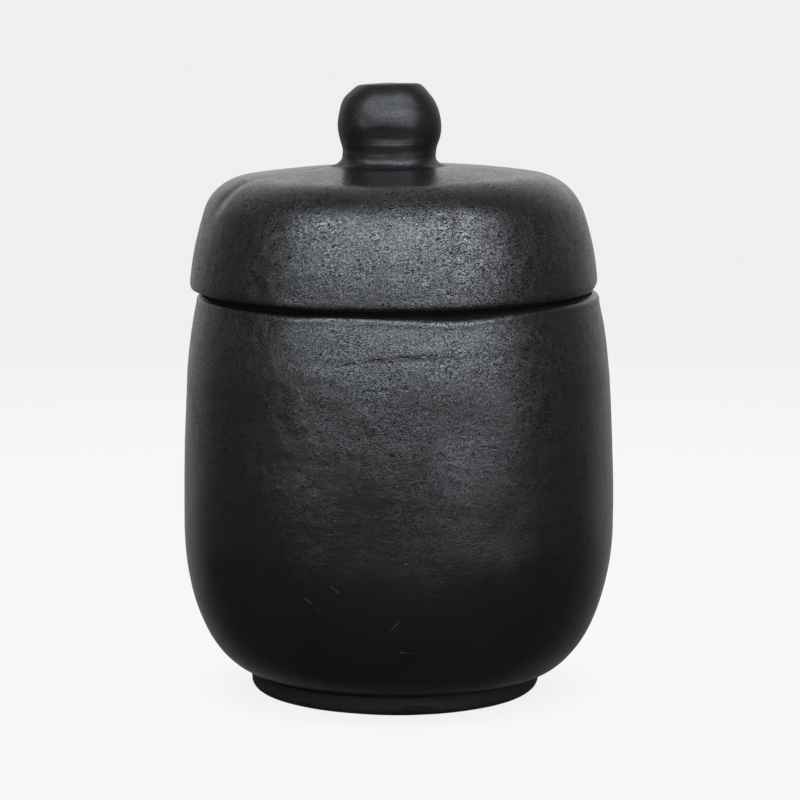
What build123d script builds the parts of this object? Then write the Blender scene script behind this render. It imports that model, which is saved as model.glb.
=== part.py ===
from build123d import *

import os
from math import asin, degrees, sqrt

# A hand-built black clay jar with a lift-off domed lid, made to hold a candle and shown empty.
# Millimetres, +Z up. The origin is on the jar's own axis, at the level the foot stands on.
# Clay members that were luted together before firing are separate solids that meet face to face.

# Jar: an elliptical sweep out of the foot, a long flank, and a shoulder that closes to the mouth
belly_radius = 50.0
belly_height = 39.6
sweep_width = 17.8
sweep_height = 35.0
shoulder_radius = 49.1
shoulder_height = 73.0
rim_radius = 46.3
rim_height = 92.5
wall_thickness = 6.0
rim_round = 1.0

# Base slab, its bevelled edge under the wall, and the coil pressed into the corner above it
slab_thickness = 6.0
slab_bevel = 3.0
floor_coil_inner_radius = 26.0
floor_coil_outer_radius = 41.2
floor_coil_top = 21.0
floor_coil_hollow = 2.0

# The last coil of the wall, laid on a bevelled edge that rises by this much towards the inside
rim_coil_joint = 84.0
rim_coil_bevel = 2.0

# Foot ring, set a little off the jar's axis by hand
foot_shift = -0.95
foot_radius = 33.6
foot_inner_radius = 24.5
foot_round = 2.1

# Lid: a shallow crown, a tight shoulder and a skirt whose edge hangs over the rim
lid_shift = -1.1
lid_top = 122.5
lid_thickness = 6.5
crown_arc = 244.0
crown_sweep = 7.9
lid_shoulder_arc = 12.7
lid_shoulder_sweep = 62.9
skirt_radius = 47.3
skirt_round = 1.5
lid_gap = 2.0

# Flange under the lid: a collar that rests on the rim, and a lip that drops into the mouth
flange_radius = 43.3
flange_height = 3.5
lip_radius = 38.4
lip_thickness = 3.6
lip_drop = 6.5
lip_round = 1.0
flange_coil_outer_radius = 40.1
flange_coil_width = 3.6
flange_coil_height = 4.5
flange_coil_hollow = 0.9

# Knob: a ball with a pressed flat top on a short neck, seated in a scored recess in the crown
knob_shift = -2.15
ball_radius = 11.85
ball_height = 131.5
knob_top = 141.0
neck_radius = 10.75
neck_blend = 5.0
knob_round = 1.6
knob_seat_depth = 1.2
knob_coil_width = 3.2
knob_coil_top = 125.2
knob_coil_edge = 0.3

# Sizes that follow from those above
foot_height = belly_height - sweep_height
slab_radius = belly_radius - sweep_width
floor_height = foot_height + slab_thickness
skirt_height = rim_height + lid_gap
flange_top = skirt_height + flange_height
knob_seat = lid_top - knob_seat_depth


def half_section(shift):
    """Return the upright plane whose origin lies on the axis `shift` along X from the jar's."""
    return Plane(origin=(shift, 0, 0), x_dir=(1, 0, 0), z_dir=(0, -1, 0))


def upright_axis(shift):
    """Return the upright axis that stands `shift` along X from the jar's."""
    return Axis((shift, 0, 0), (0, 0, 1))


def draw_jar_side(inset):
    """Draw the jar's side, `inset` inside its outer surface, and return its lower and upper ends."""
    sweep_centre = (belly_radius - sweep_width, belly_height)
    sweep = EllipticalCenterArc(
        sweep_centre, sweep_width - inset, sweep_height - inset, start_angle=270, arc_size=90
    )
    flank_end = (shoulder_radius - inset, shoulder_height)
    flank = TangentArc(sweep @ 1, flank_end, tangent=(0, 1))
    shoulder_end = (rim_radius - inset, rim_height)
    shoulder = TangentArc(flank @ 1, shoulder_end, tangent=flank % 1)
    return sweep @ 0, shoulder @ 1


def draw_jar_section():
    """Draw the closed half section of the whole wall, from the bevelled slab up to the rim."""
    outer_foot, outer_rim = draw_jar_side(0)
    inner_foot, inner_rim = draw_jar_side(wall_thickness)
    Line(outer_rim, inner_rim)
    Polyline(outer_foot, (slab_radius - slab_bevel, floor_height), inner_foot)


def draw_lid_side(inset):
    """Draw the lid from top to edge, `inset` inside its outer surface, and return the ends."""
    crown = JernArc((0, lid_top - inset), (1, 0), crown_arc - inset, -crown_sweep)
    shoulder = JernArc(crown @ 1, crown % 1, lid_shoulder_arc - inset, -lid_shoulder_sweep)
    edge = (skirt_radius - inset, skirt_height)
    skirt = TangentArc(shoulder @ 1, edge, tangent=shoulder % 1)
    return crown @ 0, skirt @ 1


def draw_dome_section():
    """Draw the closed half section of the lid's crown and skirt."""
    outer_top, outer_edge = draw_lid_side(0)
    inner_top, inner_edge = draw_lid_side(lid_thickness)
    Line(outer_top, inner_top)
    Line(outer_edge, inner_edge)


# The wall and its last coil share one half section, parted along the coil's bevelled joint
rim_joint = Plane(
    origin=(rim_radius, rim_coil_joint, 0),
    x_dir=(wall_thickness, -rim_coil_bevel, 0),
    z_dir=(rim_coil_bevel, wall_thickness, 0),
)

# Foot ring: the coil that the jar stands on
with BuildPart() as foot_ring:
    with BuildSketch(half_section(foot_shift)) as foot_section:
        with BuildLine():
            Polyline(
                (foot_inner_radius, 0),
                (foot_radius, 0),
                (foot_radius, foot_height),
                (foot_inner_radius, foot_height),
                close=True,
            )
        make_face()
        ground_corners = foot_section.vertices().group_by(Axis.Y)[0]
        fillet(ground_corners.sort_by(Axis.X)[-1], foot_round)
    revolve(axis=upright_axis(foot_shift))
foot_ring.part.label = "foot_ring"

# Base slab: the disc that closes the jar, its edge bevelled to take the wall
with BuildPart() as base_slab:
    with BuildSketch(half_section(0)):
        with BuildLine():
            Polyline(
                (0, foot_height),
                (slab_radius, foot_height),
                (slab_radius - slab_bevel, floor_height),
                (0, floor_height),
                close=True,
            )
        make_face()
    revolve(axis=Axis.Z)
base_slab.part.label = "base_slab"

# Jar wall: from the bevelled slab to the joint under the rim coil
with BuildPart() as jar_wall:
    with BuildSketch(half_section(0)):
        with BuildLine():
            draw_jar_section()
        make_face()
        split(bisect_by=rim_joint, keep=Keep.BOTTOM)
    revolve(axis=Axis.Z)
jar_wall.part.label = "jar_wall"

# Rim coil: closes the shoulder to the mouth, with both edges of the rim rounded
with BuildPart() as rim_coil:
    with BuildSketch(half_section(0)) as rim_section:
        with BuildLine():
            draw_jar_section()
        make_face()
        split(bisect_by=rim_joint, keep=Keep.TOP)
        fillet(rim_section.vertices().group_by(Axis.Y)[-1], rim_round)
    revolve(axis=Axis.Z)
rim_coil.part.label = "rim_coil"

# Floor coil: fills the corner where the wall rises from the slab, its face hollowed by a finger
with BuildPart() as floor_coil:
    with BuildSketch(half_section(0)):
        with BuildLine():
            coil_toe = (floor_coil_inner_radius, floor_height)
            coil_head = (floor_coil_outer_radius, floor_coil_top)
            SagittaArc(coil_toe, coil_head, -floor_coil_hollow)
            Polyline(coil_head, (belly_radius, floor_coil_top), (belly_radius, floor_height), coil_toe)
        make_face()
        with BuildLine():
            inner_foot, inner_rim = draw_jar_side(wall_thickness)
            Polyline(inner_rim, (0, rim_height), (0, floor_height), inner_foot)
        make_face(mode=Mode.INTERSECT)
    revolve(axis=Axis.Z)
floor_coil.part.label = "floor_coil"

# Lid dome: crown and skirt pinched out of one slab, with a scored recess for the knob
with BuildPart() as lid_dome:
    with BuildSketch(half_section(lid_shift)) as dome_section:
        with BuildLine():
            draw_dome_section()
        make_face()
        fillet(dome_section.vertices().sort_by_distance((skirt_radius, skirt_height))[0], skirt_round)
    revolve(axis=upright_axis(lid_shift))
    with BuildSketch(Plane(origin=(knob_shift, 0, knob_seat))):
        Circle(neck_radius)
    extrude(amount=knob_seat_depth + lid_thickness, mode=Mode.SUBTRACT)
lid_dome.part.label = "lid_dome"

# Lid flange: a ring set inside the skirt, with a flat collar over the rim and a lip in the mouth
with BuildPart() as lid_flange:
    with BuildSketch(half_section(lid_shift)) as flange_section:
        with BuildLine():
            Polyline(
                (lip_radius - lip_thickness, flange_top),
                (flange_radius, flange_top),
                (flange_radius, rim_height),
                (lip_radius, rim_height),
                (lip_radius, rim_height - lip_drop),
                (lip_radius - lip_thickness, rim_height - lip_drop),
                close=True,
            )
        make_face()
        with BuildLine():
            draw_dome_section()
        make_face(mode=Mode.SUBTRACT)
        fillet(flange_section.vertices().group_by(Axis.Y)[0], lip_round)
    revolve(axis=upright_axis(lid_shift))
lid_flange.part.label = "lid_flange"

# Flange coil: fills the corner between the flange and the inside of the skirt
with BuildPart() as flange_coil:
    with BuildSketch(half_section(lid_shift)):
        with BuildLine():
            flange_coil_top = flange_top + flange_coil_height
            coil_toe = (flange_coil_outer_radius - flange_coil_width, flange_top)
            coil_head = (flange_coil_outer_radius, flange_coil_top)
            SagittaArc(coil_toe, coil_head, -flange_coil_hollow)
            Polyline(coil_head, (skirt_radius, flange_coil_top), (skirt_radius, flange_top), coil_toe)
        make_face()
        with BuildLine():
            inner_top, inner_edge = draw_lid_side(lid_thickness)
            Polyline(inner_edge, (0, skirt_height), inner_top)
        make_face(mode=Mode.INTERSECT)
    revolve(axis=upright_axis(lid_shift))
flange_coil.part.label = "flange_coil"

# Knob: the ball is cut flat on top and runs down into the neck through a soft hollow
with BuildPart() as knob:
    with BuildSketch(half_section(knob_shift)) as knob_section:
        with BuildLine():
            neck_top = ball_height - sqrt(ball_radius**2 - neck_radius**2)
            flat_radius = sqrt(ball_radius**2 - (knob_top - ball_height) ** 2)
            ball_start = -degrees(asin((ball_height - neck_top) / ball_radius))
            ball_end = degrees(asin((knob_top - ball_height) / ball_radius))
            CenterArc((0, ball_height), ball_radius, ball_start, ball_end - ball_start)
            Polyline(
                (flat_radius, knob_top),
                (0, knob_top),
                (0, knob_seat),
                (neck_radius, knob_seat),
                (neck_radius, neck_top),
            )
        make_face()
        fillet(knob_section.vertices().sort_by_distance((neck_radius, neck_top))[0], neck_blend)
        fillet(knob_section.vertices().sort_by_distance((flat_radius, knob_top))[0], knob_round)
    revolve(axis=upright_axis(knob_shift))
knob.part.label = "knob"

# Knob coil: the fillet of clay smeared round the neck, its underside shaped by the crown
with BuildPart() as knob_coil:
    with BuildSketch(half_section(knob_shift)):
        with BuildLine():
            coil_edge = (neck_radius + knob_coil_width, lid_top + knob_coil_edge)
            TangentArc((neck_radius, knob_coil_top), coil_edge, tangent=(0, -1))
            Polyline(
                coil_edge,
                (neck_radius + knob_coil_width, knob_seat),
                (neck_radius, knob_seat),
                (neck_radius, knob_coil_top),
            )
        make_face()
    revolve(axis=upright_axis(knob_shift))
    add(lid_dome.part, mode=Mode.SUBTRACT)
knob_coil.part.label = "knob_coil"

jar_pieces = [foot_ring, base_slab, jar_wall, rim_coil, floor_coil]
lid_pieces = [lid_dome, lid_flange, flange_coil, knob, knob_coil]

os.makedirs("parts", exist_ok=True)
for piece in jar_pieces + lid_pieces:
    export_step(piece.part, f"parts/{piece.part.label}.step")
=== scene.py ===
import itertools
import math

import bpy
import numpy as np
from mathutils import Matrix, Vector


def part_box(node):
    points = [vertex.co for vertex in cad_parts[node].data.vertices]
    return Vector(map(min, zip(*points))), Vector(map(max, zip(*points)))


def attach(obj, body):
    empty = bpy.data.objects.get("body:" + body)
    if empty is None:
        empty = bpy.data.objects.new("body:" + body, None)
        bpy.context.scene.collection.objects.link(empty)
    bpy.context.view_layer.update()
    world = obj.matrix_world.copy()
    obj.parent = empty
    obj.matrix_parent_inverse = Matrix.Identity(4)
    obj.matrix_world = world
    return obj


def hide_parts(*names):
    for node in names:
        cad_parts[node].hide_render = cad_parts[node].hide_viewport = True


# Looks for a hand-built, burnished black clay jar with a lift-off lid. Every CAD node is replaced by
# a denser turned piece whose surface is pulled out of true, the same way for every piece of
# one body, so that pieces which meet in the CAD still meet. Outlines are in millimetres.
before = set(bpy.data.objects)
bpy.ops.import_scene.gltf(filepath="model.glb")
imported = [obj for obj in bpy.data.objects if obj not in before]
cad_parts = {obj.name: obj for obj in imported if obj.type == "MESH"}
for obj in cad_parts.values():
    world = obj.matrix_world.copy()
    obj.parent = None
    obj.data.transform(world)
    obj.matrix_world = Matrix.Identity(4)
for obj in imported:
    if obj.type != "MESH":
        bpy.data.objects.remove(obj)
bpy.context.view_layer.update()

MM = 0.001


def span(node):
    """The lowest and highest corner of a CAD node, in millimetres."""
    low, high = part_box(node)
    return np.array(low) / MM, np.array(high) / MM


# Places and sizes taken from the frame
slab_low, slab_high = span("base_slab")
_, wall_high = span("jar_wall")
foot_low, foot_high = span("foot_ring")
_, floor_coil_high = span("floor_coil")
_, rim_high = span("rim_coil")
flange_low, flange_high = span("lid_flange")
dome_low, _ = span("lid_dome")
_, flange_coil_high = span("flange_coil")
knob_low, knob_high = span("knob")

SLAB_RADIUS = slab_high[0]
FOOT_HEIGHT = slab_low[2]
FLOOR_HEIGHT = slab_high[2]
FLOOR_COIL_TOP = floor_coil_high[2]
BELLY_RADIUS = wall_high[0]
RIM_HEIGHT = rim_high[2]
FOOT_X = (foot_low[0] + foot_high[0]) / 2
FOOT_RADIUS = (foot_high[0] - foot_low[0]) / 2
LID_X = (flange_low[0] + flange_high[0]) / 2
FLANGE_RADIUS = (flange_high[0] - flange_low[0]) / 2
FLANGE_TOP = flange_high[2]
FLANGE_COIL_TOP = flange_coil_high[2]
LIP_FOOT = flange_low[2]
SKIRT_HEIGHT = dome_low[2]
KNOB_X = (knob_low[0] + knob_high[0]) / 2
BALL_RADIUS = (knob_high[0] - knob_low[0]) / 2
KNOB_SEAT = knob_low[2]
KNOB_TOP = knob_high[2]

# Sizes of the sections, as in the CAD, apart from the edges of the rim and the skirt and the coil
# round the knob, which are smaller, as the photograph shows them
BELLY_HEIGHT = 39.6
SWEEP_HEIGHT = BELLY_HEIGHT - FOOT_HEIGHT
SWEEP_WIDTH = BELLY_RADIUS - SLAB_RADIUS
SHOULDER = (49.1, 73.0)
RIM_RADIUS = 46.3
RIM_ROUND = 0.6
WALL = 6.0
SLAB_BEVEL = 3.0
RIM_JOINT = (46.3, 84.0)
RIM_JOINT_NORMAL = (2.0, 6.0)
FOOT_INNER_RADIUS = 24.5
FOOT_ROUND = 2.1
FLOOR_COIL_TOE = 26.0
FLOOR_COIL_HOLLOW = 2.0
CROWN_TOP = 122.5
CROWN_ARC = 244.0
CROWN_SWEEP = 7.9
LID_SHOULDER_ARC = 12.7
LID_SHOULDER_SWEEP = 62.9
SKIRT_RADIUS = 47.3
SKIRT_ROUND = 0.5
LID_THICKNESS = 6.5
LIP_RADIUS = 38.4
LIP_THICKNESS = 3.6
LIP_ROUND = 1.0
FLANGE_COIL_WIDTH = 3.6
FLANGE_COIL_HOLLOW = 0.9
BALL_HEIGHT = 131.5
NECK_RADIUS = 10.75
NECK_BLEND = 5.0
KNOB_ROUND = 1.6
KNOB_COIL_WIDTH = 2.4
KNOB_COIL_TOP = 124.5

# How far apart outline points lie, and how many facets go round
FINE = 0.65
COARSE = 1.4
JOINT = 1.5
ROUND_STEP = 0.28
FACETS = 440
KNOB_FACETS = 200

# The seat of the lid is not quite level: it rises towards +X
SEAT_TILT = 0.0095


# ---- Outlines ---------------------------------------------------------------------------------


def line(start, end, step):
    """Points along a straight line."""
    count = max(2, math.ceil(math.dist(start, end) / step) + 1)
    return np.linspace(start, end, count)


def arc(centre, radii, start, end, step):
    """Points along an arc of a circle or of an upright ellipse, its angles in degrees."""
    turn = math.radians(end - start)
    count = max(3, math.ceil(abs(turn) * max(radii) / step) + 1)
    angles = math.radians(start) + np.linspace(0, turn, count)
    return np.column_stack(
        (centre[0] + radii[0] * np.cos(angles), centre[1] + radii[1] * np.sin(angles))
    )


def tangent_arc(start, heading, end, step):
    """Points along the arc that leaves start along heading and reaches end, and its last heading."""
    start, end, heading = (np.array(v, float) for v in (start, end, heading))
    heading /= np.linalg.norm(heading)
    side = np.array((-heading[1], heading[0]))
    chord = end - start
    radius = chord @ chord / (2 * (chord @ side))
    turn = 2 * math.atan2(chord @ side, chord @ heading)
    first = math.degrees(math.atan2(*(-radius * side)[::-1]))
    centre = start + radius * side
    points = arc(centre, (abs(radius), abs(radius)), first, first + math.degrees(turn), step)
    cos, sin = math.cos(turn), math.sin(turn)
    last = (heading[0] * cos - heading[1] * sin, heading[0] * sin + heading[1] * cos)
    return points, last


def sagging_arc(start, end, sag, step):
    """Points along the arc from start to end that sags to the right of its chord by sag."""
    start, end = np.array(start, float), np.array(end, float)
    chord = end - start
    half = np.linalg.norm(chord) / 2
    along = chord / (2 * half)
    right = np.array((along[1], -along[0]))
    lean = 2 * math.atan(sag / half)
    heading = along * math.cos(lean) + right * math.sin(lean)
    return tangent_arc(start, heading, end, step)[0]


def parted(points, origin, normal):
    """The stretches of a run of points before and after it crosses a line."""
    side = (points - np.array(origin)) @ np.array(normal)
    after = int(np.argmax(side > 0))
    share = side[after - 1] / (side[after - 1] - side[after])
    crossing = points[after - 1] + share * (points[after] - points[after - 1])
    return np.vstack((points[:after], crossing)), np.vstack((crossing, points[after:]))


def rounded_corner(before, after, radius):
    """Two runs that meet in a corner, cut back, and the arc of that radius between them."""
    corner = after[0]
    back, ahead = before[-2] - corner, after[1] - corner
    back, ahead = back / np.linalg.norm(back), ahead / np.linalg.norm(ahead)
    half_angle = math.acos(np.clip(back @ ahead, -1, 1)) / 2
    trim = radius / math.tan(half_angle)
    leave, arrive = corner + back * trim, corner + ahead * trim
    before = before[np.linalg.norm(before - corner, axis=1) > trim * 1.05]
    after = after[np.linalg.norm(after - corner, axis=1) > trim * 1.05]
    curve, _ = tangent_arc(leave, -back, arrive, ROUND_STEP)
    return before, curve, after


def outline(runs, rounds, closed=True):
    """Joins runs end to end into one outline, with the corner after each run rounded by its radius.

    Returns the points and a flag for each that says whether it is a sharp corner.
    """
    runs = [np.asarray(run, float) for run in runs]
    curves = [None] * len(runs)
    for index, radius in enumerate(rounds):
        following = (index + 1) % len(runs)
        if radius > 0:
            cut = rounded_corner(runs[index], runs[following], radius)
            runs[index], curves[index], runs[following] = cut
    points, sharp = [], []
    for index, run in enumerate(runs):
        keep_last = curves[index] is None and not closed and index == len(runs) - 1
        body = run if keep_last or curves[index] is not None else run[:-1]
        points.append(body)
        flags = np.zeros(len(body), bool)
        starts_sharp = curves[index - 1] is None and (closed or index > 0)
        flags[0] = starts_sharp
        sharp.append(flags)
        if curves[index] is not None:
            points.append(curves[index])
            sharp.append(np.zeros(len(curves[index]), bool))
    return np.vstack(points), np.concatenate(sharp)


def jar_side(inset, step):
    """The jar's side from its foot to its rim, inset inside its outer surface."""
    centre = (BELLY_RADIUS - SWEEP_WIDTH, BELLY_HEIGHT)
    sweep = arc(centre, (SWEEP_WIDTH - inset, SWEEP_HEIGHT - inset), -90, 0, step)
    shoulder_point = (SHOULDER[0] - inset, SHOULDER[1])
    flank, heading = tangent_arc(sweep[-1], (0, 1), shoulder_point, step)
    shoulder, _ = tangent_arc(flank[-1], heading, (RIM_RADIUS - inset, RIM_HEIGHT), step)
    return np.vstack((sweep, flank[1:], shoulder[1:]))


def lid_side(inset, step):
    """The lid from the middle of its crown to the edge of its skirt, inset inside its surface."""
    crown_radius = CROWN_ARC - inset
    shoulder_radius = LID_SHOULDER_ARC - inset
    crown_centre = np.array((0, CROWN_TOP - CROWN_ARC))
    crown = arc(crown_centre, (crown_radius,) * 2, 90, 90 - CROWN_SWEEP, step)
    turned = math.radians(90 - CROWN_SWEEP)
    reach = CROWN_ARC - LID_SHOULDER_ARC
    centre = crown_centre + reach * np.array((math.cos(turned), math.sin(turned)))
    last_angle = 90 - CROWN_SWEEP - LID_SHOULDER_SWEEP
    shoulder = arc(centre, (shoulder_radius,) * 2, 90 - CROWN_SWEEP, last_angle, step)
    leaving = math.radians(last_angle - 90)
    heading = (math.cos(leaving), math.sin(leaving))
    edge = (SKIRT_RADIUS - inset, SKIRT_HEIGHT)
    skirt, _ = tangent_arc(shoulder[-1], heading, edge, step)
    return np.vstack((crown, shoulder[1:], skirt[1:]))


def crown_height(radius):
    """The height of the crown's surface at a radius about the lid's axis."""
    return CROWN_TOP - CROWN_ARC + np.sqrt(CROWN_ARC**2 - radius**2)


# ---- Hand-made unevenness ---------------------------------------------------------------------


def smooth(low, high, value):
    """0 below low, 1 above high, and a smooth step between."""
    share = np.clip((value - low) / (high - low), 0, 1)
    return share * share * (3 - 2 * share)


def bell(value, width):
    """1 at zero, falling away on both sides over the width."""
    return np.exp(-((value / width) ** 2))


def away(angle, centre):
    """How far an angle is from another, in degrees from -180 to 180."""
    return (angle - centre + 180) % 360 - 180


random = np.random.default_rng(7)
SHUFFLE = np.concatenate([random.permutation(256)] * 3)
SLOPES = random.normal(size=(256, 3))
SLOPES /= np.linalg.norm(SLOPES, axis=1)[:, None]


def lumps(points, size, seed):
    """Smooth noise at the points, from about -1 to 1, with lumps about size millimetres across."""
    place = points / np.array(size) + seed * 31.7
    cell = np.floor(place).astype(int)
    part = place - cell
    fade = part**3 * (part * (part * 6 - 15) + 10)
    total = np.zeros(len(points))
    for corner in itertools.product((0, 1), repeat=3):
        corner = np.array(corner)
        a, b, c = ((cell + corner) % 256).T
        slope = SLOPES[SHUFFLE[SHUFFLE[SHUFFLE[a] + b] + c]]
        weight = np.where(corner, fade, 1 - fade).prod(axis=1)
        total += weight * ((part - corner) * slope).sum(axis=1)
    return total * 1.7


def outward(points, axis_x, low, high):
    """Unit vectors away from the upright core that stands at axis_x between two heights."""
    core = np.zeros_like(points)
    core[:, 0] = axis_x
    core[:, 2] = np.clip(points[:, 2], low, high)
    reach = points - core
    return reach / np.maximum(np.linalg.norm(reach, axis=1), 1e-6)[:, None]


def pressed(points, axis_x, dents):
    """How deep finger marks press at the points. A dent is (angle, height, width, tallness, depth)."""
    x, y, z = points[:, 0] - axis_x, points[:, 1], points[:, 2]
    angle = np.degrees(np.arctan2(y, x))
    radius = np.hypot(x, y)
    depth = np.zeros(len(points))
    for centre, height, width, tallness, deep in dents:
        along = np.radians(away(angle, centre)) * radius
        depth += deep * bell(along, width) * bell(z - height, tallness)
    return depth


# Finger marks and swellings: angle in degrees, then height, half-width, half-height and depth in
# millimetres
JAR_DENTS = [
    (-104, 56, 9, 12, 0.22),
    (-72, 66, 7, 10, 0.18),
    (-62, 43, 5, 6, 0.25),
    (-128, 30, 8, 9, 0.2),
    (-20, 50, 11, 14, 0.3),
    (28, 34, 10, 10, 0.35),
    (75, 62, 12, 13, 0.35),
    (120, 40, 9, 14, 0.3),
    (160, 70, 11, 9, 0.25),
]
JAR_SWELLINGS = [
    (0, 47, 24, 22, 0.38),
    (-8, 16, 20, 12, 0.2),
]
LID_DENTS = [
    (-101, 109, 4.5, 7, 0.22),
    (-70.5, 111, 1.6, 5, 0.3),
    (-66, 104, 5, 6, 0.18),
    (-84, 101, 9, 3, 0.12),
    (-158, 117, 2.4, 3.5, 0.5),
    (-30, 108, 6, 7, 0.25),
    (35, 110, 8, 6, 0.3),
    (88, 104, 9, 7, 0.3),
    (140, 112, 6, 6, 0.35),
]
LID_SWELLINGS = [
    (180, 117.5, 14, 5, 0.5),
    (180, 108, 14, 9, 0.15),
]
KNOB_DENTS = [
    (-92, 129.4, 7, 1.5, 0.55),
    (-70, 133.8, 3.2, 2.6, 0.16),
    (-118, 134.2, 3.4, 2.8, 0.3),
    (-60, 137.2, 3.5, 2, 0.2),
    (-94, 136.8, 4, 1.6, 0.12),
    (-40, 131, 4, 4, 0.25),
    (20, 134, 5, 4, 0.25),
    (80, 130, 5, 4, 0.3),
    (135, 133, 5, 4, 0.28),
    (-160, 129, 4, 3.5, 0.25),
]
KNOB_SWELLINGS = [
    (-88, 127.0, 5, 0.9, 0.24),
    (-90, 123.7, 8, 1.3, 0.24),
    (180, 138.4, 7, 2.2, 0.6),
    (0, 131, 8, 8, 0.32),
]


# How far the jar's parts stand off its axis or stray from true, in millimetres
BASE_LEAN = 0.28
MOUTH_LEAN = 0.12
FOOT_SHIFT = 0.55
RIM_WANDER = 0.2
RIM_RISE = 0.4
RIM_RISES_TOWARDS = 182
RIM_RIDGE = 0.17
JOINT_WANDER = 0.9
JOINT_SMEAR = 0.1
SMEAR_BELOW_JOINT = 1.3
SIDE_SWELL = 0.3

# The same for the lid and its knob
SKIRT_SAG = 0.92
SKIRT_CHIP = 0.15
SKIRT_DRAWN_IN = 0.6
SKIRT_BEAD = 0.07


def hand_surface(points):
    """The height of undulations, burnishing strokes and leathery lumps at the points."""
    undulation = 0.2 * lumps(points, (27, 27, 19), 1)
    strokes = 0.035 * lumps(points, (12, 12, 7), 2) + 0.014 * lumps(points, (6, 6, 4), 3)
    leather = 0.014 * lumps(points, (2.7, 2.7, 2.1), 4)
    return undulation + strokes + leather


def in_contact(points):
    """1 where the lid's collar rests on the rim, so that both surfaces stay true there."""
    radius = np.hypot(points[:, 0] - LID_X, points[:, 1])
    near = bell(np.maximum(np.abs(points[:, 2] - RIM_HEIGHT) - 0.5, 0), 1.4)
    return near * (1 - smooth(FLANGE_RADIUS + 0.2, FLANGE_RADIUS + 1.6, radius))


def edge_wave(angle):
    """The up-and-down wander of an edge that was cut and patted by hand, about one unit high."""
    turn = np.radians(angle)
    return 0.5 * np.sin(2 * turn + 0.7) + 0.35 * np.sin(5 * turn + 2.1) + 0.25 * np.sin(9 * turn)


def rim_bevel(angle):
    """How wide the rim's outer edge was wiped into a bevel at each angle, in millimetres."""
    wiped = 1.3 * bell(away(angle, -73), 15) + 0.35 * bell(away(angle, -119), 8)
    true = 0.3 * (1 - bell(away(angle, 185), 40)) + 0.12 * edge_wave(angle + 15)
    return np.maximum(true + wiped + 0.6 * bell(away(angle, 60), 40), 0.02)


def shape_jar(points):
    """Moves points of the jar from true to hand-made."""
    x, y, z = points.T
    angle = np.degrees(np.arctan2(y, x))
    radius = np.hypot(x, y)
    outer = smooth(FLANGE_RADIUS + 0.4, FLANGE_RADIUS + 2.0, radius)
    moved = points.copy()
    moved[:, 0] -= BASE_LEAN * (1 - smooth(12, 45, z)) + MOUTH_LEAN * smooth(70, 90, z)
    moved[:, 0] += FOOT_SHIFT * (1 - smooth(FOOT_HEIGHT - 1, FOOT_HEIGHT + 6, z))
    moved[:, 2] += SEAT_TILT * x * smooth(50, 88, z)
    rise = RIM_WANDER * edge_wave(angle) + RIM_RISE * bell(away(angle, RIM_RISES_TOWARDS), 26)
    moved[:, 2] += rise * outer * smooth(86, 92, z)
    moved[:, 2] += JOINT_WANDER * edge_wave(angle + 60) * bell(z - RIM_JOINT[1], 4.5)
    bevel = rim_bevel(angle)
    near_edge = smooth(FLANGE_RADIUS + 0.1, FLANGE_RADIUS + 2.1, radius)
    wiped = near_edge * smooth(RIM_HEIGHT - 0.3 - bevel, RIM_HEIGHT - 0.1, z) * bevel
    moved[:, :2] *= (1 - wiped / radius.clip(1))[:, None]
    ridge = RIM_RIDGE * bell(z - RIM_HEIGHT + 0.75 + bevel, 0.45) * outer
    seam = RIM_JOINT[1] - SMEAR_BELOW_JOINT
    smear = JOINT_SMEAR * (bell(z - seam, 0.8) - 0.6 * bell(z - seam - 1.7, 1.0))
    smear *= 0.2 + 0.8 * np.maximum(bell(away(angle, -86), 12), bell(away(angle, 70), 45))
    sideways = np.sin(np.radians(angle)) ** 2
    swell = SIDE_SWELL * sideways * np.cos(np.radians(3 * angle + 50)) * bell(z - 50, 40)
    height = hand_surface(points) + swell + ridge - pressed(points, 0, JAR_DENTS) - smear
    height += pressed(points, 0, JAR_SWELLINGS)
    height *= 1 - in_contact(points)
    return moved + outward(points, 0, 42, 75) * height[:, None]


def skirt_wave(angle):
    """How far the skirt's edge rises at each angle: it sags along the front, with a small chip."""
    sag = smooth(-165, -100, angle) * (1 - smooth(-16, 6, angle))
    chip = bell(away(angle, -101.5), 1.4)
    return SKIRT_CHIP * chip - SKIRT_SAG * sag + 0.07 * edge_wave(angle + 140)


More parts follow.
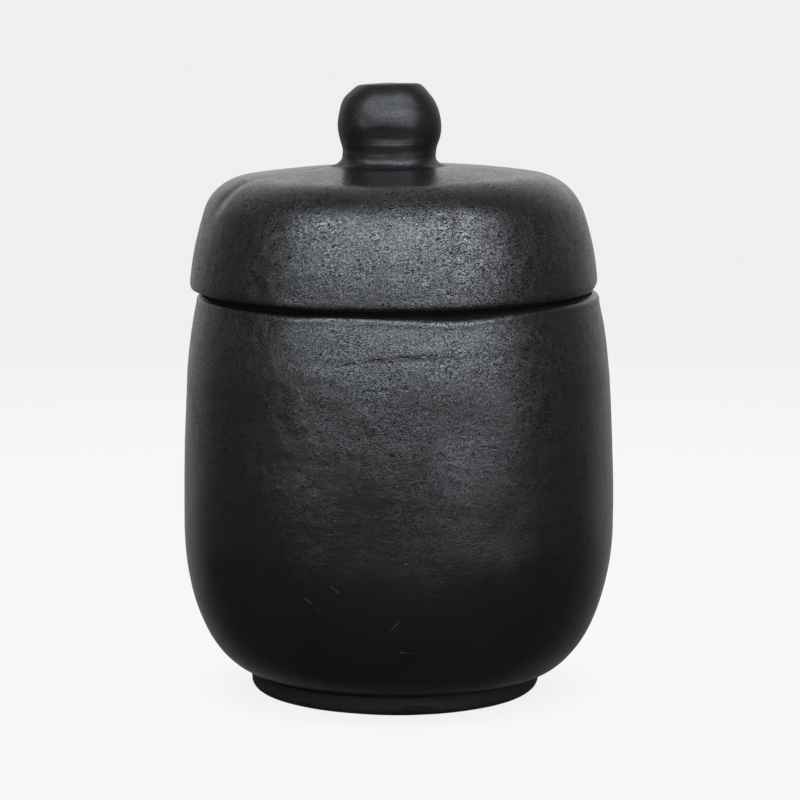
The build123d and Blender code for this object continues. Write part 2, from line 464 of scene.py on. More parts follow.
def shape_lid(points):
    """Moves points of the lid, its flange and its knob from true to hand-made."""
    x, y, z = points.T
    angle = np.degrees(np.arctan2(y, x - LID_X))
    radius = np.hypot(x - LID_X, y)
    outer = smooth(FLANGE_RADIUS + 0.4, FLANGE_RADIUS + 2.0, radius)
    skirt = outer * (1 - smooth(SKIRT_HEIGHT + 1.5, SKIRT_HEIGHT + 7, z))
    on_knob = smooth(CROWN_TOP + 0.5, CROWN_TOP + 4, z)
    moved = points.copy()
    moved[:, 2] += SEAT_TILT * x
    moved[:, 2] += skirt_wave(angle) * skirt
    sides = 0.2 + 0.8 * np.cos(np.radians(angle)) ** 4 * (0.45 + 0.55 * smooth(-20, 20, x))
    drawn_in = SKIRT_DRAWN_IN * sides * outer * (1 - smooth(SKIRT_HEIGHT, SKIRT_HEIGHT + 1.8, z))
    moved[:, 0] -= drawn_in * np.cos(np.radians(angle))
    moved[:, 1] -= drawn_in * np.sin(np.radians(angle))
    slope = 0.016 * (x - KNOB_X) - 0.024 * y - 0.005 * (x - KNOB_X - 1) ** 2 + 0.08
    moved[:, 2] += slope * smooth(KNOB_TOP - 5, KNOB_TOP - 1, z)
    bead = SKIRT_BEAD * bell(z - SKIRT_HEIGHT - 0.9, 0.45) * outer
    lid_height = hand_surface(points) + bead - pressed(points, LID_X, LID_DENTS)
    lid_height += pressed(points, LID_X, LID_SWELLINGS)
    lid_height *= 1 - in_contact(points)
    facets = 0.09 * lumps(points, (7, 7, 5), 8) + 0.05 * lumps(points, (3, 3, 2.2), 9)
    knob_height = facets - pressed(points, KNOB_X, KNOB_DENTS)
    knob_height += pressed(points, KNOB_X, KNOB_SWELLINGS)
    lid_move = outward(points, LID_X, 90, 104) * lid_height[:, None]
    knob_move = outward(points, KNOB_X, 124, BALL_HEIGHT) * knob_height[:, None]
    return moved + lid_move * (1 - on_knob)[:, None] + knob_move * on_knob[:, None]


# ---- Turned meshes ----------------------------------------------------------------------------


def turned_points(points, on_axis, facets):
    """An outline turned about the axis, and the outline point that each vertex comes from."""
    turns = np.linspace(0, 2 * math.pi, facets, endpoint=False)
    vertices, ring = [], []
    for index, (radius, height) in enumerate(points):
        around = turns[:1] if on_axis[index] else turns
        radii = 0.0 if on_axis[index] else radius
        row = (radii * np.cos(around), radii * np.sin(around), np.full(len(around), height))
        vertices.append(np.column_stack(row))
        ring.append(np.full(len(around), index))
    return np.vstack(vertices), np.concatenate(ring)


def turned_faces(on_axis, facets):
    """The faces between neighbouring rows of a turned outline, as triangles where a row is a point."""
    faces = []
    sizes = np.where(on_axis, 1, facets)
    starts = np.concatenate(((0,), np.cumsum(sizes)))
    here = np.arange(facets)
    beside = (here + 1) % facets
    closed = not (on_axis[0] or on_axis[-1])
    last = len(on_axis) if closed else len(on_axis) - 1
    for index in range(last):
        following = (index + 1) % len(on_axis)
        low, high = starts[index], starts[following]
        if on_axis[index]:
            faces += np.column_stack((here * 0 + low, high + beside, high + here)).tolist()
        elif on_axis[following]:
            faces += np.column_stack((low + here, low + beside, here * 0 + high)).tolist()
        else:
            quads = (low + here, low + beside, high + beside, high + here)
            faces += np.column_stack(quads).tolist()
    return faces


def lathe(node, body, points, sharp, axis_x, facets, shape, burnish=None, bend=None):
    """Makes the turned piece that stands for a CAD node.

    points is the outline as (radius, height), run upwards along the outside. bend moves the true
    turned points before the hand-made shape does. burnish gives each outline point's polish, 0 to 1.
    """
    on_axis = points[:, 0] < 1e-6
    vertices, ring = turned_points(points, on_axis, facets)
    if bend is not None:
        vertices = bend(vertices)
    vertices[:, 0] += axis_x
    vertices = shape(vertices)
    mesh = bpy.data.meshes.new(node + "_clay")
    mesh.from_pydata((vertices * MM).tolist(), [], turned_faces(on_axis, facets))
    mesh.shade_smooth()
    edges = np.empty(len(mesh.edges) * 2, int)
    mesh.edges.foreach_get("vertices", edges)
    edge_rings = ring[edges.reshape(-1, 2)]
    along = edge_rings[:, 0] == edge_rings[:, 1]
    mesh.edges.foreach_set("use_edge_sharp", along & np.asarray(sharp)[edge_rings[:, 0]])
    polish = np.ones(len(points)) if burnish is None else np.asarray(burnish, float)
    layer = mesh.attributes.new("burnish", "FLOAT", "POINT")
    layer.data.foreach_set("value", polish[ring])
    piece = bpy.data.objects.new(node + "_clay", mesh)
    bpy.context.scene.collection.objects.link(piece)
    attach(piece, body)
    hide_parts(node)
    return piece


def make_foot_ring():
    """The rounded coil that the jar stands on, its underside pressed flat."""
    runs = [
        line((FOOT_INNER_RADIUS, 0), (FOOT_RADIUS, 0), FINE),
        line((FOOT_RADIUS, 0), (FOOT_RADIUS, FOOT_HEIGHT), 0.4),
        line((FOOT_RADIUS, FOOT_HEIGHT), (FOOT_INNER_RADIUS, FOOT_HEIGHT), JOINT),
        line((FOOT_INNER_RADIUS, FOOT_HEIGHT), (FOOT_INNER_RADIUS, 0), 0.5),
    ]
    points, sharp = outline(runs, [FOOT_ROUND, 0, 0, 1.2])

    def shape(vertices):
        moved = shape_jar(vertices)
        patted = 0.25 * lumps(vertices, (9, 9, 4), 12) * smooth(0.4, 2.5, vertices[:, 2])
        patted *= 1 - smooth(FOOT_HEIGHT - 0.8, FOOT_HEIGHT, vertices[:, 2])
        moved += outward(vertices, FOOT_X, 0, 5) * patted[:, None]
        moved[:, 2] = np.maximum(moved[:, 2], 0)
        return moved

    worn = np.full(len(points), 0.3)
    return lathe("foot_ring", "jar", points, sharp, FOOT_X, FACETS, shape, worn)


def make_base_slab():
    """The disc that closes the jar, with its bevelled edge under the wall."""
    inner = SLAB_RADIUS - SLAB_BEVEL
    runs = [
        line((0, FOOT_HEIGHT), (SLAB_RADIUS, FOOT_HEIGHT), COARSE),
        line((SLAB_RADIUS, FOOT_HEIGHT), (inner, FLOOR_HEIGHT), JOINT),
        line((inner, FLOOR_HEIGHT), (0, FLOOR_HEIGHT), COARSE),
    ]
    points, sharp = outline(runs, [0, 0, 0], closed=False)
    return lathe("base_slab", "jar", points, sharp, 0, FACETS, shape_jar)


def make_wall_and_rim():
    """The wall, and the last coil that closes it to the mouth, parted along a bevelled joint."""
    outer_low, outer_high = parted(jar_side(0, FINE), RIM_JOINT, RIM_JOINT_NORMAL)
    inner_low, inner_high = parted(jar_side(WALL, COARSE), RIM_JOINT, RIM_JOINT_NORMAL)
    joint = line(outer_low[-1], inner_low[-1], JOINT)
    bevel_toe = (SLAB_RADIUS - SLAB_BEVEL, FLOOR_HEIGHT)
    wall_runs = [
        outer_low,
        joint,
        inner_low[::-1],
        line(inner_low[0], bevel_toe, JOINT),
        line(bevel_toe, outer_low[0], JOINT),
    ]
    points, sharp = outline(wall_runs, [0, 0, 0, 0, 0])
    polish = np.zeros(len(points))
    polish[: len(outer_low)] = 1
    wall = lathe("jar_wall", "jar", points, sharp, 0, FACETS, shape_jar, polish)
    rim_top = line(outer_high[-1], inner_high[-1], 0.5)
    rim_runs = [outer_high, rim_top, inner_high[::-1], joint[::-1]]
    points, sharp = outline(rim_runs, [RIM_ROUND, RIM_ROUND, 0, 0])
    polish = smooth(RIM_RADIUS - 1.2, RIM_RADIUS - 0.5, points[:, 0])
    rim = lathe("rim_coil", "jar", points, sharp, 0, FACETS, shape_jar, polish)
    return [wall, rim]


def make_floor_coil():
    """The coil that fills the corner between the slab and the wall, hollowed by a finger."""
    toe = (FLOOR_COIL_TOE, FLOOR_HEIGHT)
    side = jar_side(WALL, COARSE)
    against_wall, _ = parted(side, (0, FLOOR_COIL_TOP), (0, 1))
    face = sagging_arc(toe, against_wall[-1], FLOOR_COIL_HOLLOW, 0.8)
    runs = [
        line(toe, against_wall[0], JOINT),
        against_wall,
        face[::-1],
    ]
    points, sharp = outline(runs, [0, 0, 0])
    return lathe("floor_coil", "jar", points, sharp, 0, FACETS, shape_jar)


def lean_to_knob(vertices):
    """Slides the middle of the crown sideways, so that its recess is under the knob."""
    moved = vertices.copy()
    radius = np.hypot(vertices[:, 0], vertices[:, 1])
    moved[:, 0] += (KNOB_X - LID_X) * (1 - smooth(16, 28, radius))
    return moved


def make_lid_dome():
    """The crown and skirt, with the recess that holds the knob."""
    outer = lid_side(0, FINE)
    inner = lid_side(LID_THICKNESS, COARSE)
    skin, _ = parted(outer[::-1], (NECK_RADIUS, 0), (-1, 0))
    runs = [
        skin,
        line(skin[-1], (NECK_RADIUS, KNOB_SEAT), 0.6),
        line((NECK_RADIUS, KNOB_SEAT), (0, KNOB_SEAT), JOINT),
        line((0, KNOB_SEAT), inner[0], JOINT),
    ]
    recess = outline(runs[:3], [0, 0, 0], closed=False)
    hollow = outline([inner, line(inner[-1], outer[-1], 0.6)], [0, 0], closed=False)
    points = np.vstack((hollow[0][:-1], recess[0]))
    sharp = np.concatenate((hollow[1][:-1], recess[1]))
    edge = len(hollow[0]) - 1
    before, curve, after = rounded_corner(points[: edge + 1], points[edge:], SKIRT_ROUND)
    flags = np.zeros(len(curve), bool)
    sharp = np.concatenate((sharp[: len(before)], flags, sharp[len(points) - len(after) :]))
    points = np.vstack((before, curve, after))
    inside = len(inner)
    polish = np.ones(len(points))
    polish[:inside] = 0
    return lathe("lid_dome", "lid", points, sharp, LID_X, FACETS, shape_lid, polish, lean_to_knob)


def make_lid_flange():
    """The ring inside the skirt, with a collar that rests on the rim and a lip in the mouth."""
    inner_radius = LIP_RADIUS - LIP_THICKNESS
    inside = lid_side(LID_THICKNESS, COARSE)
    _, low_side = parted(inside, (0, FLANGE_TOP), (0, -1))
    runs = [
        line((inner_radius, LIP_FOOT), (LIP_RADIUS, LIP_FOOT), 0.5),
        line((LIP_RADIUS, LIP_FOOT), (LIP_RADIUS, RIM_HEIGHT), 0.8),
        line((LIP_RADIUS, RIM_HEIGHT), (FLANGE_RADIUS, RIM_HEIGHT), 0.8),
        line((FLANGE_RADIUS, RIM_HEIGHT), (FLANGE_RADIUS, SKIRT_HEIGHT), 0.4),
        line((FLANGE_RADIUS, SKIRT_HEIGHT), low_side[-1], 0.8),
        low_side[::-1],
        line(low_side[0], (inner_radius, FLANGE_TOP), 0.8),
        line((inner_radius, FLANGE_TOP), (inner_radius, LIP_FOOT), 0.8),
    ]
    points, sharp = outline(runs, [LIP_ROUND, 0, 0, 0, 0, 0, 0.8, LIP_ROUND])
    return lathe("lid_flange", "lid", points, sharp, LID_X, FACETS, shape_lid)


def make_flange_coil():
    """The coil that fills the corner between the flange and the inside of the skirt."""
    inside = lid_side(LID_THICKNESS, COARSE)
    _, below = parted(inside, (0, FLANGE_COIL_TOP), (0, -1))
    against_skirt, _ = parted(below, (0, FLANGE_TOP), (0, -1))
    toe = (against_skirt[-1][0] - FLANGE_COIL_WIDTH, FLANGE_TOP)
    face = sagging_arc(toe, against_skirt[0], FLANGE_COIL_HOLLOW, 0.5)
    runs = [
        line(toe, against_skirt[-1], 0.8),
        against_skirt[::-1],
        face[::-1],
    ]
    points, sharp = outline(runs, [0, 0, 0])
    return lathe("flange_coil", "lid", points, sharp, LID_X, FACETS, shape_lid)


def make_knob():
    """The ball with its pressed flat top, running down into the neck through a soft hollow."""
    neck_top = BALL_HEIGHT - math.sqrt(BALL_RADIUS**2 - NECK_RADIUS**2)
    low = -math.degrees(math.acos(NECK_RADIUS / BALL_RADIUS))
    high = math.degrees(math.asin((KNOB_TOP - BALL_HEIGHT) / BALL_RADIUS))
    ball = arc((0, BALL_HEIGHT), (BALL_RADIUS,) * 2, low, high, 0.4)
    runs = [
        line((0, KNOB_SEAT), (NECK_RADIUS, KNOB_SEAT), JOINT),
        line((NECK_RADIUS, KNOB_SEAT), (NECK_RADIUS, neck_top), 0.4),
        ball,
        line(ball[-1], (0, KNOB_TOP), 0.5),
    ]
    points, sharp = outline(runs, [0, NECK_BLEND, KNOB_ROUND, 0], closed=False)
    return lathe("knob", "lid", points, sharp, KNOB_X, KNOB_FACETS, shape_lid)


def make_knob_coil():
    """The fillet of clay smeared round the neck, wider in some places than in others."""
    edge_radius = NECK_RADIUS + KNOB_COIL_WIDTH
    seat = crown_height(NECK_RADIUS)
    edge = (edge_radius, crown_height(edge_radius) - 0.03)
    root = (edge_radius - 0.4, crown_height(edge_radius) - 0.3)
    face, _ = tangent_arc((NECK_RADIUS, KNOB_COIL_TOP), (0, -1), edge, 0.2)
    runs = [
        line((NECK_RADIUS, seat), root, 0.5),
        line(root, edge, 0.2),
        face[::-1],
        line((NECK_RADIUS, KNOB_COIL_TOP), (NECK_RADIUS, seat), 0.4),
    ]
    points, sharp = outline(runs, [0, 0, 0, 0])

    def smear(vertices):
        moved = vertices.copy()
        angle = np.degrees(np.arctan2(vertices[:, 1], vertices[:, 0]))
        radius = np.hypot(vertices[:, 0], vertices[:, 1])
        wider = 1.15 + 0.3 * edge_wave(angle + 20) + 0.12 * edge_wave(3 * angle)
        new_radius = NECK_RADIUS + (radius - NECK_RADIUS) * wider
        moved[:, :2] *= (new_radius / radius)[:, None]
        moved[:, 2] += crown_height(new_radius) - crown_height(radius)
        return moved

    return lathe(
        "knob_coil", "lid", points, sharp, KNOB_X, KNOB_FACETS, shape_lid, None, smear
    )


# ---- Materials --------------------------------------------------------------------------------


class Nodes:
    """A short way to add shader nodes to one material or world."""

    def __init__(self, tree):
        self.tree = tree
        tree.nodes.clear()

    def add(self, kind, inputs=(), **settings):
        node = self.tree.nodes.new(kind)
        for key, value in settings.items():
            setattr(node, key, value)
        for key, value in dict(inputs).items():
            if isinstance(value, bpy.types.NodeSocket):
                self.tree.links.new(value, node.inputs[key])
            else:
                node.inputs[key].default_value = value
        return node

    def vectors(self, operation, inputs, output=0):
        return self.add("ShaderNodeVectorMath", inputs, operation=operation).outputs[output]

    def stretched(self, vector, stretch):
        return self.vectors("MULTIPLY", {0: vector, 1: stretch})

    def noise(self, vector, size, detail=2.0, roughness=0.5, distortion=0.0):
        """Noise with features about size millimetres across."""
        inputs = {
            "Vector": vector,
            "Scale": 1 / (size * MM),
            "Detail": detail,
            "Roughness": roughness,
            "Distortion": distortion,
        }
        return self.add("ShaderNodeTexNoise", inputs).outputs["Fac"]

    def ramp(self, value, low, high, to_low=0.0, to_high=1.0, smooth_step=True):
        kind = "SMOOTHSTEP" if smooth_step else "LINEAR"
        inputs = {"Value": value, 1: low, 2: high, 3: to_low, 4: to_high}
        return self.add("ShaderNodeMapRange", inputs, interpolation_type=kind).outputs[0]

    def maths(self, operation, first, second):
        return self.add("ShaderNodeMath", {0: first, 1: second}, operation=operation).outputs[0]

    def apart(self, value, middle):
        """How far a value is from the middle, either way."""
        beyond = self.maths("SUBTRACT", value, middle)
        return self.add("ShaderNodeMath", {0: beyond}, operation="ABSOLUTE").outputs[0]

    def mix(self, share, first, second):
        node = self.add("ShaderNodeMix", {}, data_type="RGBA")
        self.put(node.inputs[0], share)
        self.put(node.inputs[6], first)
        self.put(node.inputs[7], second)
        return node.outputs[2]

    def blend(self, share, first, second):
        node = self.add("ShaderNodeMix", {}, data_type="FLOAT")
        self.put(node.inputs[0], share)
        self.put(node.inputs[2], first)
        self.put(node.inputs[3], second)
        return node.outputs[0]

    def profile(self, value, stops):
        """A level that follows stops, given as (value from -1 to 1, level from 0 to 1)."""
        place = self.ramp(value, -1.0, 1.0, smooth_step=False)
        node = self.add("ShaderNodeValToRGB", {0: place})
        elements = node.color_ramp.elements
        while len(elements) < len(stops):
            elements.new(0.5)
        for element, (at, level) in zip(elements, stops):
            element.position = (at + 1) / 2
            element.color = (level, level, level, 1)
        return node.outputs["Color"]

    def marks(self, place, lines):
        """1 on any of the thin lines, given as (start, end, width) in millimetres, and 0 away.

        Depth counts for little, so that a straight line stays on the curved front.
        """
        squash = (1.0, 0.15, 1.0)
        flat = self.stretched(place, squash)
        wander = self.noise(place, 2.4, 2.0)
        total = None
        for start, end, width in lines:
            start, end = (Vector(point) * Vector(squash) * MM for point in (start, end))
            width *= MM
            along = end - start
            from_start = self.vectors("SUBTRACT", {0: flat, 1: start})
            per_length = along / along.length_squared
            share = self.vectors("DOT_PRODUCT", {0: from_start, 1: per_length}, "Value")
            share = self.ramp(share, 0.0, 1.0, smooth_step=False)
            nearest = self.vectors("SCALE", {0: along, "Scale": share})
            gap = self.vectors("DISTANCE", {0: from_start, 1: nearest}, "Value")
            gap = self.maths("ADD", gap, self.ramp(wander, 0.35, 0.65, -0.5 * width, 0.8 * width))
            here = self.ramp(gap, 0.2 * width, 0.8 * width, 1.0, 0.0)
            total = here if total is None else self.maths("MAXIMUM", total, here)
        return total

    def put(self, socket, value):
        if isinstance(value, bpy.types.NodeSocket):
            self.tree.links.new(value, socket)
        else:
            socket.default_value = value

    def bump(self, height, depth, normal=None):
        """A bump whose height of 1 stands for depth millimetres."""
        inputs = {"Height": height, "Distance": depth * MM, "Strength": 1.0}
        if normal is not None:
            inputs["Normal"] = normal
        return self.add("ShaderNodeBump", inputs).outputs["Normal"]


# Light scratches and scored lines on the front: start, end and width in millimetres
SCRATCHES = [
    ((-20.6, -44.8, 29.7), (-17.0, -45.9, 26.6), 0.2),
    ((-17.0, -45.9, 26.6), (-13.9, -46.3, 25.1), 0.17),
    ((-3.8, -47.0, 20.7), (0.7, -48.5, 25.5), 0.16),
    ((0.3, -46.0, 17.7), (4.9, -45.8, 17.0), 0.2),
    ((-14.6, -47.6, 32.6), (-12.9, -47.6, 31.2), 0.2),
    ((-19.0, -28.0, 3.7), (3.0, -33.6, 3.1), 0.25),
]
GROOVES = [
    ((-14.4, -46.9, 81.0), (-1.0, -48.1, 83.3), 0.5),
    ((-1.0, -48.1, 83.3), (13.7, -46.0, 84.3), 0.45),
    ((-8.0, -47.9, 76.0), (2.0, -48.6, 76.6), 0.4),
]


# Clay colours, each as its darkest and lightest shade
BURNISHED_SHADES = ((0.0070, 0.0070, 0.0071, 1), (0.0125, 0.0125, 0.0123, 1))
RAW_SHADES = ((0.0080, 0.0078, 0.0075, 1), (0.0210, 0.0205, 0.0197, 1))
SCRATCH_COLOUR = (0.036, 0.036, 0.035, 1)
FLECK_COLOUR = (0.12, 0.12, 0.115, 1)

# Sizes of the clay's features in millimetres, and how deep the bumps are
GRAIN_SIZE = 0.42
CREASE_SIZE = 0.95
LEATHER_SIZE = 1.3
BEND_SIZE = 4.0
BEND_REACH = 4.5
PORE_SPACING = 2.2
FLECK_SPACING = 1.3
STROKE_DEPTH = 0.035
LEATHER_DEPTH = 0.035
GRAIN_DEPTH = 0.011
GROOVE_DEPTH = 0.07
PORE_DEPTH = 0.04
CLAY_IOR = 1.8


def worm_grain(nodes, place, level, fine):
    """Thin winding ridges and the broader creases among them, from 0 to about 1.4."""
    bends = {"Vector": place, "Scale": 1 / (BEND_SIZE * MM), "Detail": 1.0}
    bends = nodes.add("ShaderNodeTexNoise", bends).outputs["Color"]
    drift = nodes.vectors("SCALE", {0: bends, "Scale": BEND_REACH * MM})
    winding = nodes.vectors("ADD", {0: level, 1: drift})
    worms = nodes.noise(winding, GRAIN_SIZE, 1.2, 0.5, 0.2)
    ridges = nodes.ramp(nodes.apart(worms, 0.5), 0.0, 0.085, 1.0, 0.0)
    ridges = nodes.maths("MULTIPLY", ridges, nodes.ramp(fine, 0.36, 0.6, 0.6, 0.95))
    folds = nodes.noise(winding, CREASE_SIZE, 1.5, 0.5, 0.2)
    creases = nodes.ramp(nodes.apart(folds, 0.5), 0.0, 0.13, 0.42, 0.0)
    return nodes.maths("ADD", ridges, creases)


def pores(nodes, place):
    """1 in the scattered pin-holes."""
    cells = nodes.add("ShaderNodeTexVoronoi", {"Vector": place, "Scale": 1 / (PORE_SPACING * MM)})
    return nodes.ramp(cells.outputs["Distance"], 0.06, 0.15, 1.0, 0.0)


def flecks(nodes, place):
    """1 on the few pale flecks."""
    cells = nodes.add("ShaderNodeTexVoronoi", {"Vector": place, "Scale": 1 / (FLECK_SPACING * MM)})
    chosen = nodes.add("ShaderNodeSeparateColor", {"Color": cells.outputs["Color"]})
    few = nodes.ramp(chosen.outputs[0], 0.97, 0.98)
    spots = nodes.ramp(cells.outputs["Distance"], 0.06, 0.1, 1.0, 0.0)
    return nodes.maths("MULTIPLY", spots, few)


def polish_level(nodes, weave, grainy, rubbed, height, gloss, handled):
    """How strongly burnished clay reflects: best on the ridges, and less towards the worn foot."""
    level = nodes.maths("MULTIPLY_ADD", nodes.maths("SUBTRACT", weave, 0.5), grainy)
    level.node.inputs[2].default_value = gloss
    level = nodes.maths("MULTIPLY", level, nodes.ramp(rubbed, 0.3, 0.7, 0.9, 1.1))
    level = nodes.maths("MULTIPLY", level, nodes.ramp(height, 0.03, 0.07, 0.62, 1.0))
    level = nodes.maths("MULTIPLY", level, nodes.ramp(height, 0.006, 0.011, 0.5, 1.0))
    if handled:
        facing = nodes.add("ShaderNodeLayerWeight", {"Blend": 0.5}).outputs["Facing"]
        level = nodes.maths("MULTIPLY", level, nodes.ramp(facing, 0.45, 0.85, 1.0, 1.0 - handled))
    return nodes.maths("MAXIMUM", level, 0.02)


def polish_roughness(nodes, weave, rubbed, clouds, scratched, handled):
    """How blurred the reflections in burnished clay are."""
    sheen = nodes.ramp(rubbed, 0.3, 0.75, 0.16, 0.21)
    sheen = nodes.maths("ADD", sheen, nodes.ramp(clouds, 0.3, 0.7, -0.02, 0.03))
    sheen = nodes.maths("ADD", sheen, nodes.ramp(weave, 0.0, 1.2, 0.04, -0.02))
    sheen = nodes.maths("ADD", sheen, nodes.maths("MULTIPLY", scratched, 0.3))
    return nodes.maths("ADD", sheen, 0.15 * handled)


def clay(name, burnished, grain=1.0, gloss=0.58, handled=0.0):
    """Black clay: polished with a stone over a worm-like grain, or left raw and matte."""
    material = bpy.data.materials.new(name)
    material.use_nodes = True
    nodes = Nodes(material.node_tree)
    place = nodes.add("ShaderNodeTexCoord").outputs["Object"]
    level = nodes.stretched(place, (1.0, 1.0, 1.8))
    strokes = nodes.stretched(place, (1.0, 1.0, 4.0))
    height = nodes.add("ShaderNodeSeparateXYZ", {"Vector": place}).outputs["Z"]

    leather = nodes.noise(level, LEATHER_SIZE, 2.0, 0.5, 0.5)
    fine = nodes.noise(level, GRAIN_SIZE, 2.0, 0.55, 0.3)
    rubbed = nodes.noise(strokes, 9.0, 4.0, 0.6, 0.4)
    weave = worm_grain(nodes, place, level, fine)
    patches = nodes.noise(place, 16.0, 3.0, 0.5, 0.6)
    grainy = nodes.ramp(patches, 0.32, 0.6, 0.7, 1.3)
    grainy = nodes.maths("MULTIPLY", grainy, nodes.ramp(height, 0.03, 0.085, 0.5 * grain, grain))
    raw_colour = nodes.mix(leather, *RAW_SHADES)
    raw_rough = nodes.ramp(fine, 0.3, 0.7, 0.68, 0.9)

    normal = nodes.bump(rubbed, STROKE_DEPTH)
    normal = nodes.bump(leather, LEATHER_DEPTH, normal)
    normal = nodes.bump(nodes.marks(place, GROOVES), -GROOVE_DEPTH, normal)
    normal = nodes.bump(nodes.maths("MULTIPLY", weave, grainy), GRAIN_DEPTH, normal)
    normal = nodes.bump(pores(nodes, place), -PORE_DEPTH, normal)

    shader = nodes.add("ShaderNodeBsdfPrincipled", {"Normal": normal, "IOR": CLAY_IOR})
    if burnished:
        clouds = nodes.noise(place, 22.0, 4.0, 0.6)
        scratched = nodes.marks(place, SCRATCHES)
        colour = nodes.mix(clouds, *BURNISHED_SHADES)
        colour = nodes.mix(scratched, colour, SCRATCH_COLOUR)
        colour = nodes.mix(flecks(nodes, place), colour, FLECK_COLOUR)
        rough = polish_roughness(nodes, weave, rubbed, clouds, scratched, handled)
        polished = polish_level(nodes, weave, grainy, rubbed, height, gloss, handled)
        share = nodes.add("ShaderNodeAttribute", attribute_name="burnish").outputs["Fac"]
        ragged = nodes.maths("ADD", share, nodes.ramp(rubbed, 0.3, 0.7, -0.3, 0.3))
        share = nodes.ramp(ragged, 0.35, 0.65)
        nodes.put(shader.inputs["Base Color"], nodes.mix(share, raw_colour, colour))
        nodes.put(shader.inputs["Roughness"], nodes.blend(share, raw_rough, rough))
        nodes.put(shader.inputs["Specular IOR Level"], nodes.blend(share, 0.15, polished))
    else:
        nodes.put(shader.inputs["Base Color"], raw_colour)
        nodes.put(shader.inputs["Roughness"], raw_rough)
        shader.inputs["Specular IOR Level"].default_value = 0.12
    nodes.add("ShaderNodeOutputMaterial", {"Surface": shader.outputs[0]})
    return material


# ---- Stage ------------------------------------------------------------------------------------

FLOOR_RADIUS = 5.0
PALE = 0.865
PALE_NEAR = 0.93


def make_floor():
    """A pale floor, a little brighter round the jar than far away, with a faint contact shadow painted
    round the foot.
    """
    turns = np.linspace(0, 2 * math.pi, 96, endpoint=False)
    rim = [(FLOOR_RADIUS * math.cos(t), FLOOR_RADIUS * math.sin(t), 0.0) for t in turns]
    mesh = bpy.data.meshes.new("floor")
    mesh.from_pydata(rim, [], [tuple(range(len(rim)))])
    floor = bpy.data.objects.new("floor", mesh)
    bpy.context.scene.collection.objects.link(floor)
    material = bpy.data.materials.new("pale_floor")
    material.use_nodes = True
    nodes = Nodes(material.node_tree)
    place = nodes.add("ShaderNodeTexCoord").outputs["Object"]
    distance = nodes.vectors("LENGTH", {0: place}, "Value")
    glow = nodes.ramp(distance, 0.3, 0.75, PALE_NEAR, PALE)
    # Painted contact shadow: ambient occlusion dims the glowing floor by up to 7% right round the foot
    shade = nodes.add("ShaderNodeAmbientOcclusion", {"Distance": 0.012}, samples=8)
    painted_contact_shadow = nodes.ramp(shade.outputs["AO"], 0.0, 1.0, 0.93, 1.0)
    strength = nodes.maths("MULTIPLY", glow, painted_contact_shadow)
    light = nodes.add("ShaderNodeEmission", {"Color": (1.0, 1.0, 1.0, 1), "Strength": strength})
    nodes.add("ShaderNodeOutputMaterial", {"Surface": light.outputs[0]})
    mesh.materials.append(material)
    floor.visible_glossy = False
    floor.visible_diffuse = False


# How bright the surroundings are against height, from straight down (-1) to straight up (1)
WINDOW_STOPS = [
    (-0.70, 0.0),
    (-0.42, 0.006),
    (-0.24, 0.012),
    (-0.14, 0.012),
    (-0.06, 0.024),
    (0.0, 0.095),
    (0.08, 0.225),
    (0.18, 0.36),
    (0.30, 0.56),
    (0.46, 0.92),
    (0.70, 0.86),
    (0.84, 0.32),
    (0.95, 0.02),
]
CARD_STOPS = [(-0.2, 0.0), (-0.12, 0.3), (-0.05, 0.85), (0.05, 1.0), (0.22, 0.2)]
WALL_STOPS = [
    (-0.9, 0.06),
    (-0.35, 0.12),
    (-0.14, 0.34),
    (0.1, 0.6),
    (0.25, 0.84),
    (0.5, 0.55),
    (0.8, 0.2),
]
WINDOW_STRENGTH = 3.1
CARD_STRENGTH = 0.8
WALL_STRENGTH = 0.95
WINDOW_TINT = (0.87, 0.92, 1.0)
WALL_TINT = (1.0, 0.99, 0.965)


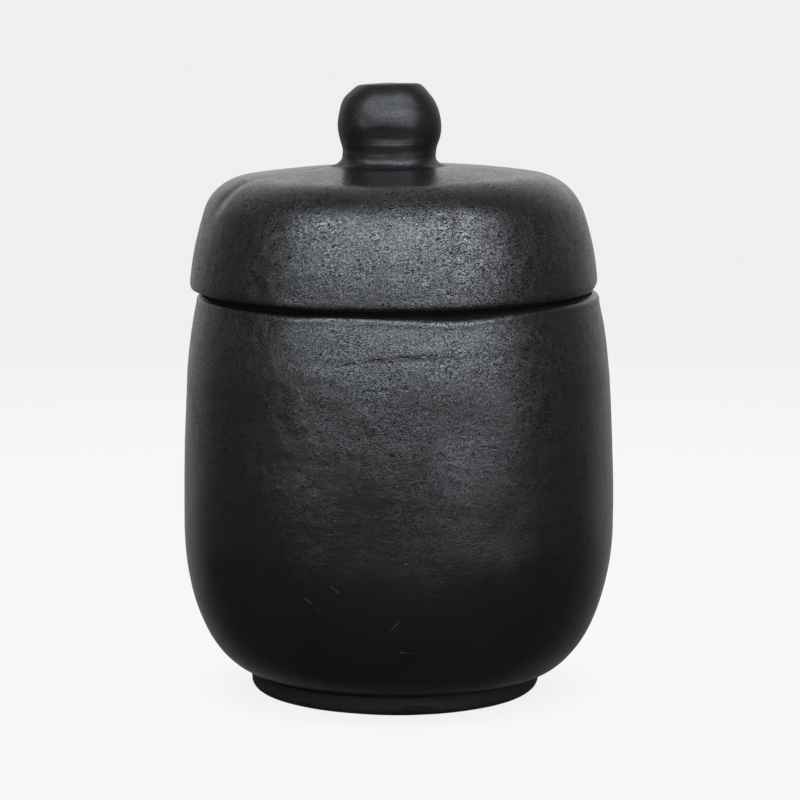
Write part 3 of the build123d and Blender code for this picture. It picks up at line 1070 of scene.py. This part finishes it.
def make_surroundings():
    """A wide soft window in front with a low card at its right, pale walls behind, dark between.

    Only the clay reflects them: the camera sees a plain pale ground.
    """
    world = bpy.data.worlds.new("studio")
    bpy.context.scene.world = world
    world.use_nodes = True
    nodes = Nodes(world.node_tree)
    toward = nodes.add("ShaderNodeTexCoord").outputs["Generated"]
    parts = nodes.add("ShaderNodeSeparateXYZ", {"Vector": toward}).outputs
    height = parts["Z"]
    flat = nodes.add("ShaderNodeCombineXYZ", {"X": parts["X"], "Y": parts["Y"], "Z": 0.0})
    level = nodes.vectors("NORMALIZE", {0: flat.outputs[0]})
    sides = nodes.add("ShaderNodeSeparateXYZ", {"Vector": level}).outputs
    ahead, aside = sides["Y"], sides["X"]

    tilt = nodes.ramp(aside, -0.5, 0.0, 0.38, 0.0)
    lean = nodes.maths("MULTIPLY", nodes.maths("SUBTRACT", height, 0.4), tilt)
    front = nodes.ramp(nodes.maths("SUBTRACT", ahead, lean), -0.62, -0.26, 1.0, 0.0)
    window = nodes.maths("MULTIPLY", front, nodes.profile(height, WINDOW_STOPS))
    window = nodes.maths("MULTIPLY", window, WINDOW_STRENGTH)
    window = nodes.maths("MULTIPLY", window, nodes.ramp(aside, -0.7, 0.5, 0.88, 1.08))
    card = nodes.maths("MULTIPLY", nodes.profile(height, CARD_STOPS), nodes.ramp(aside, 0.2, 0.6))
    card = nodes.maths("MULTIPLY", nodes.maths("MULTIPLY", front, card), CARD_STRENGTH)
    back = nodes.ramp(ahead, 0.42, 1.05)
    wall = nodes.maths("MULTIPLY", back, nodes.profile(height, WALL_STOPS))
    wall = nodes.maths("MULTIPLY", wall, WALL_STRENGTH)

    cool = nodes.vectors("SCALE", {0: WINDOW_TINT, "Scale": nodes.maths("ADD", window, card)})
    warm = nodes.vectors("SCALE", {0: WALL_TINT, "Scale": wall})
    bright = nodes.vectors("ADD", {0: cool, 1: warm})
    dim = nodes.ramp(height, -0.3, 0.05, 0.035, 0.115)
    room = nodes.vectors("ADD", {0: bright, 1: dim})
    seen = nodes.add("ShaderNodeLightPath").outputs["Is Camera Ray"]
    lit = nodes.add("ShaderNodeBackground", {"Color": room, "Strength": 1.0})
    plain = nodes.add("ShaderNodeBackground", {"Color": (PALE, PALE, PALE, 1), "Strength": 1.0})
    choice = nodes.add("ShaderNodeMixShader", {0: seen, 1: lit.outputs[0], 2: plain.outputs[0]})
    nodes.add("ShaderNodeOutputWorld", {"Surface": choice.outputs[0]})


CAMERA_LENS = 143.09
CAMERA_PLACE = (0.0004, -0.7345, 0.1708)
CAMERA_TILT = 82.0


def make_camera():
    """A long lens looking a little down on the jar, as the photograph does."""
    data = bpy.data.cameras.new("camera")
    data.lens = CAMERA_LENS
    camera = bpy.data.objects.new("camera", data)
    camera.location = CAMERA_PLACE
    camera.rotation_euler = (math.radians(CAMERA_TILT), 0, 0)
    bpy.context.scene.collection.objects.link(camera)
    bpy.context.scene.camera = camera


# ---- Assembly ---------------------------------------------------------------------------------

make_camera()
make_floor()
make_surroundings()
bpy.context.scene.view_settings.view_transform = "Standard"

burnished_clay = clay("burnished_black_clay", True)
smooth_clay = clay("smooth_burnished_clay", True, grain=0.2, gloss=0.34, handled=0.85)
raw_clay = clay("raw_black_clay", False)

wall, rim = make_wall_and_rim()
pieces = {
    wall: ("burnished_clay", burnished_clay),
    rim: ("burnished_clay", burnished_clay),
    make_foot_ring(): ("burnished_clay", burnished_clay),
    make_base_slab(): ("raw_clay", raw_clay),
    make_floor_coil(): ("raw_clay", raw_clay),
    make_lid_dome(): ("burnished_clay", burnished_clay),
    make_lid_flange(): ("raw_clay", raw_clay),
    make_flange_coil(): ("raw_clay", raw_clay),
    make_knob(): ("burnished_clay", smooth_clay),
    make_knob_coil(): ("burnished_clay", smooth_clay),
}
for piece, (slot, material) in pieces.items():
    piece.data.materials.append(material)
